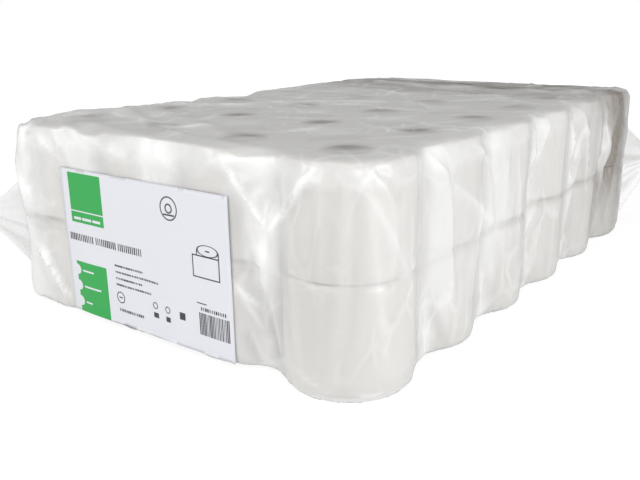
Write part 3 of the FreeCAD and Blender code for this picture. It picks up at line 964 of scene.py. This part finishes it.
flat_piece("green_fields", bar(-130, 100, 50, 50) + bar(-130, 4.6, 47, 54.4), green_ink, INK_MM)
white_marks = bar(-130, 111, 50, 1.2) + bar(-126, 103, 11, 2.6)
white_marks += bar(-113, 103, 14, 2.6) + bar(-97, 103, 12, 2.6)
for height, length in ((50, 17), (33, 26), (16, 10)):
    white_marks += disc(-129, height, 5.4) + bar(-120, height - 1, length, 1.8)
flat_piece("white_marks", white_marks, coated_paper, 2 * INK_MM)

# A ringed mark, a plain drawing of a roll with its sheet, and a few small signs.
signs = ring_of(14, 133, 11, 9.8) + ring_of(14, 133, 4.6, 3.2) + bar(7, 126.4, 14, 1.4)
for part in ring_of(59.5, 102, 10, 8.8):
    signs.append([(59.5 + (x - 59.5) * 1.3, 102 + (z - 102) * 0.52) for x, z in part])
signs += bar(57, 101.2, 5, 1.2) + bar(40.4, 96, 32.6, 1.1) + bar(40.4, 76.4, 32.6, 1.1)
signs += bar(40.4, 77.5, 1.1, 18.6) + bar(71.9, 77.5, 1.1, 25) + bar(46, 96, 1.1, 6)
signs += ring_of(-64, 33, 6, 5.0) + bar(-66.5, 32.4, 5, 1.2)
signs += ring_of(-14, 36, 3.4, 2.5, 20) + bar(-17, 24, 7, 5)
signs += ring_of(4, 36, 3.4, 2.5, 20) + bar(1, 24, 6, 5) + bar(20, 31, 7, 7) + bar(43, 52, 12, 1.0)
flat_piece("black_signs", signs, black_ink, INK_MM)

# Three groups of tall bars, four lines of small ones, a line at the foot, and a set of
# stripes with a short row above it.
for word, (left, strokes) in enumerate(((-134.8, 13), (-94.6, 11), (-60.8, 12))):
    title = {"count": strokes, "pitch": 2.9, "width": 1.35, "height": 7.2, "spread": 0.35}
    printed_row(f"title_word_{word + 1}", left, 84.5, **title, seed=word)
for line, strokes in enumerate((21, 16, 26, 17)):
    small = {"count": strokes, "pitch": 2.4, "width": 1.5, "height": 1.9, "spread": 0.4}
    printed_row(f"small_line_{line + 1}", -68, 46 + 6.4 * line, **small, seed=line)
printed_row("foot_line", -67, 20, count=14, pitch=2.6, width=1.4, height=2.8, spread=0.4, seed=8)
printed_row("stripe_number", 48.5, 47.4, count=12, pitch=2.6, width=1.4, height=3.2, spread=0.4, seed=9)
printed_row("stripes", 45.5, 33.0, count=20, pitch=1.85, width=0.85, height=21.0, spread=0.5, seed=3)


# The floor and backdrop: a large flat sheet of pale paper, lit until it shows white. Only the
# object's own soft shadow stays on it.
FLOOR_COLOUR = "#F4F4F4"
FLOOR_GLOW = 1.08
ROOM_LIGHT = 0.52
ROOM_IN_GLOSS = 0.3


def background_rays(tree):
    """1 for a ray that shows the background: from the camera, or passed through clear film."""
    rays = add_node(tree, "ShaderNodeLightPath").outputs
    either = {0: rays["Is Camera Ray"], 1: rays["Is Transmission Ray"]}
    return add_node(tree, "ShaderNodeMath", either, operation="MAXIMUM").outputs[0]


# Seamless white paper: matt, and shown white to the camera, a little less near the pack.
floor_paper, tree = new_material("white_backdrop_paper")
place = add_node(tree, "ShaderNodeTexCoord").outputs["Object"]
far_off = add_node(tree, "ShaderNodeVectorMath", {0: place}, operation="LENGTH")
fade = add_node(
    tree,
    "ShaderNodeMapRange",
    {"Value": far_off.outputs["Value"], "From Min": 0.6, "From Max": 2.0, "To Min": 0.8, "To Max": 1.0},
)
glowing = {0: background_rays(tree), 1: fade.outputs["Result"]}
glow = add_node(tree, "ShaderNodeMath", glowing, operation="MULTIPLY")
matt = add_node(tree, "ShaderNodeBsdfDiffuse", {"Color": linear(FLOOR_COLOUR)})
bright = add_node(tree, "ShaderNodeEmission", {"Color": (1, 1, 1, 1), "Strength": FLOOR_GLOW})
backdrop = {0: glow.outputs[0], 1: matt.outputs[0], 2: bright.outputs[0]}
floor_surface = add_node(tree, "ShaderNodeMixShader", backdrop)
add_node(tree, "ShaderNodeOutputMaterial", {"Surface": floor_surface.outputs[0]})
bpy.ops.mesh.primitive_plane_add(size=14, location=(0, 0, -0.0004))
floor = bpy.context.object
floor.name = "floor"
floor.data.materials.append(floor_paper)

# The room lights the pack evenly, looks grey in a gloss and shows white behind the pack.
world = bpy.data.worlds.new("studio")
bpy.context.scene.world = world
world.use_nodes = True
tree = world.node_tree
tree.nodes.clear()
plain = add_node(tree, "ShaderNodeBackground", {"Color": (1, 1, 1, 1), "Strength": ROOM_LIGHT})
grey = add_node(tree, "ShaderNodeBackground", {"Color": (1, 1, 1, 1), "Strength": ROOM_IN_GLOSS})
white = add_node(tree, "ShaderNodeBackground", {"Color": (1, 1, 1, 1), "Strength": 1.0})
in_gloss = add_node(tree, "ShaderNodeLightPath").outputs["Is Glossy Ray"]
lit = add_node(tree, "ShaderNodeMixShader", {0: in_gloss, 1: plain.outputs[0], 2: grey.outputs[0]})
sky_parts = {0: background_rays(tree), 1: lit.outputs[0], 2: white.outputs[0]}
sky = add_node(tree, "ShaderNodeMixShader", sky_parts)
add_node(tree, "ShaderNodeOutputWorld", {"Surface": sky.outputs[0]})


def softbox(name, place, target, size, power):
    """A square area lamp that points at a spot."""
    lamp = bpy.data.lights.new(name, "AREA")
    lamp.size = size
    lamp.energy = power
    box = bpy.data.objects.new(name, lamp)
    box.location = place
    box.rotation_euler = (Vector(target) - Vector(place)).to_track_quat("-Z", "Y").to_euler()
    bpy.context.scene.collection.objects.link(box)


softbox("front_left_softbox", (-0.7, -2.3, 0.8), (0, -0.1, 0.1), 2.0, 22.5)
softbox("right_softbox", (2.3, -0.7, 0.7), (0.1, -0.1, 0.1), 2.0, 34)
softbox("overhead_softbox", (0.2, -0.9, 2.4), (0, -0.1, 0.1), 2.0, 13)

# The camera stands where the photo was taken from, at the near right corner.
CAMERA_PLACE = (0.4997, -0.7500, 0.2903)
CAMERA_YAW = math.radians(127.42)
CAMERA_PITCH = math.radians(16.66)
CAMERA_ROLL = math.radians(-0.79)
CAMERA_LENS_MM = 41.76

level = math.cos(CAMERA_PITCH)
forward = Vector((level * math.cos(CAMERA_YAW), level * math.sin(CAMERA_YAW), -math.sin(CAMERA_PITCH)))
level_right = forward.cross(Vector((0, 0, 1))).normalized()
level_up = level_right.cross(forward)
right = level_right * math.cos(CAMERA_ROLL) + level_up * math.sin(CAMERA_ROLL)
above = level_up * math.cos(CAMERA_ROLL) - level_right * math.sin(CAMERA_ROLL)
lens = bpy.data.cameras.new("camera")
lens.lens = CAMERA_LENS_MM
lens.sensor_width = 36.0
camera = bpy.data.objects.new("camera", lens)
aim = Matrix((right, above, -forward)).transposed().to_4x4()
camera.matrix_world = Matrix.Translation(CAMERA_PLACE) @ aim
bpy.context.scene.collection.objects.link(camera)
bpy.context.scene.camera = camera
bpy.context.scene.view_settings.view_transform = "Standard"
